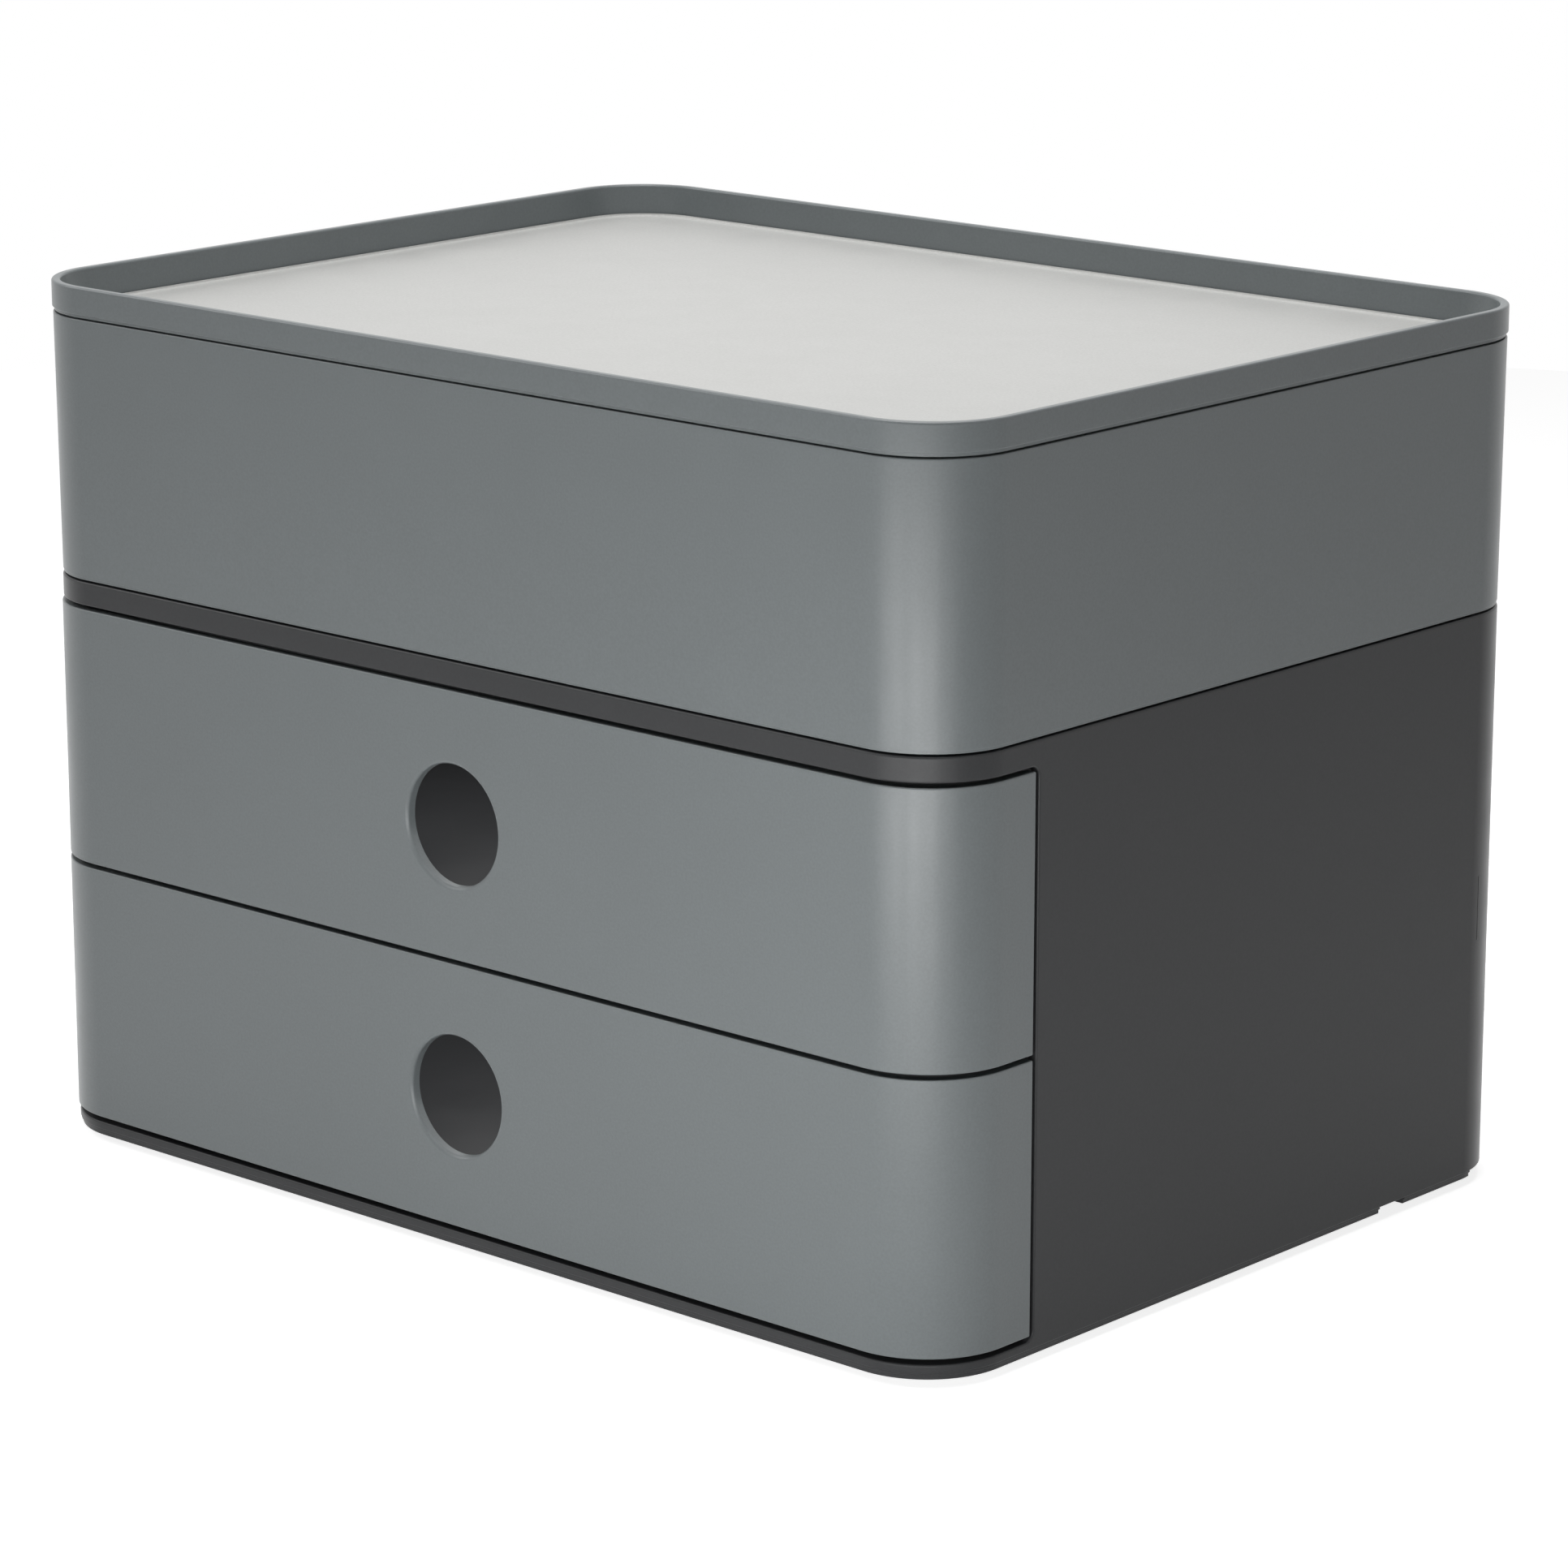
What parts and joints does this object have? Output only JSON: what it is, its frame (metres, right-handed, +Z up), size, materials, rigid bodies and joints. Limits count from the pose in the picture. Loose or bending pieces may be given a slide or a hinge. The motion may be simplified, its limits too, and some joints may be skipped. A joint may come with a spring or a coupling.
{
  "type": "desktop file drawer",
  "caption": "Desk-top drawer unit: a housing with pull-out drawers that have round finger holes, a deep lift-off box on top, and a tray lid.",
  "frame": {"origin": "on the surface that the object stands on, under the middle of its plan", "axes": "+X along the width, to the right as seen from the front; +Z up; the drawers open towards -Y"},
  "size_m": [0.2604, 0.1942, 0.19],
  "materials": {
    "charcoal_plastic": "satin",
    "granite_plastic": "satin",
    "pale_plastic": "matt",
    "foot_rubber": "matt"
  },
  "bodies": {
    "housing": {"housing_shell": "charcoal_plastic", "back_panel": "charcoal_plastic", "left_runner_frame": "charcoal_plastic", "right_runner_frame": "charcoal_plastic", "foot_front_left": "foot_rubber", "foot_front_right": "foot_rubber", "foot_rear_left": "foot_rubber", "foot_rear_right": "foot_rubber"},
    "lower_drawer": {"lower_drawer_front": "granite_plastic", "lower_drawer_tray": "charcoal_plastic"},
    "upper_drawer": {"upper_drawer_front": "granite_plastic", "upper_drawer_tray": "charcoal_plastic"},
    "box": {"top_box": "granite_plastic"},
    "lid": {"lid_tray": "granite_plastic", "lid_mat": "pale_plastic"}
  },
  "joints": [
    {"name": "lower_drawer_slide", "type": "slide", "parent": "housing", "child": "lower_drawer", "axis": [0, -1, 0], "range_m": [0, 0.132]},
    {"name": "upper_drawer_slide", "type": "slide", "parent": "housing", "child": "upper_drawer", "axis": [0, -1, 0], "range_m": [0, 0.132]},
    {"name": "box_lift", "type": "slide", "parent": "housing", "child": "box", "axis": [0, 0, 1], "range_m": [0, 0.06]},
    {"name": "lid_lift", "type": "slide", "parent": "box", "child": "lid", "axis": [0, 0, 1], "range_m": [0, 0.06]}
  ]
}
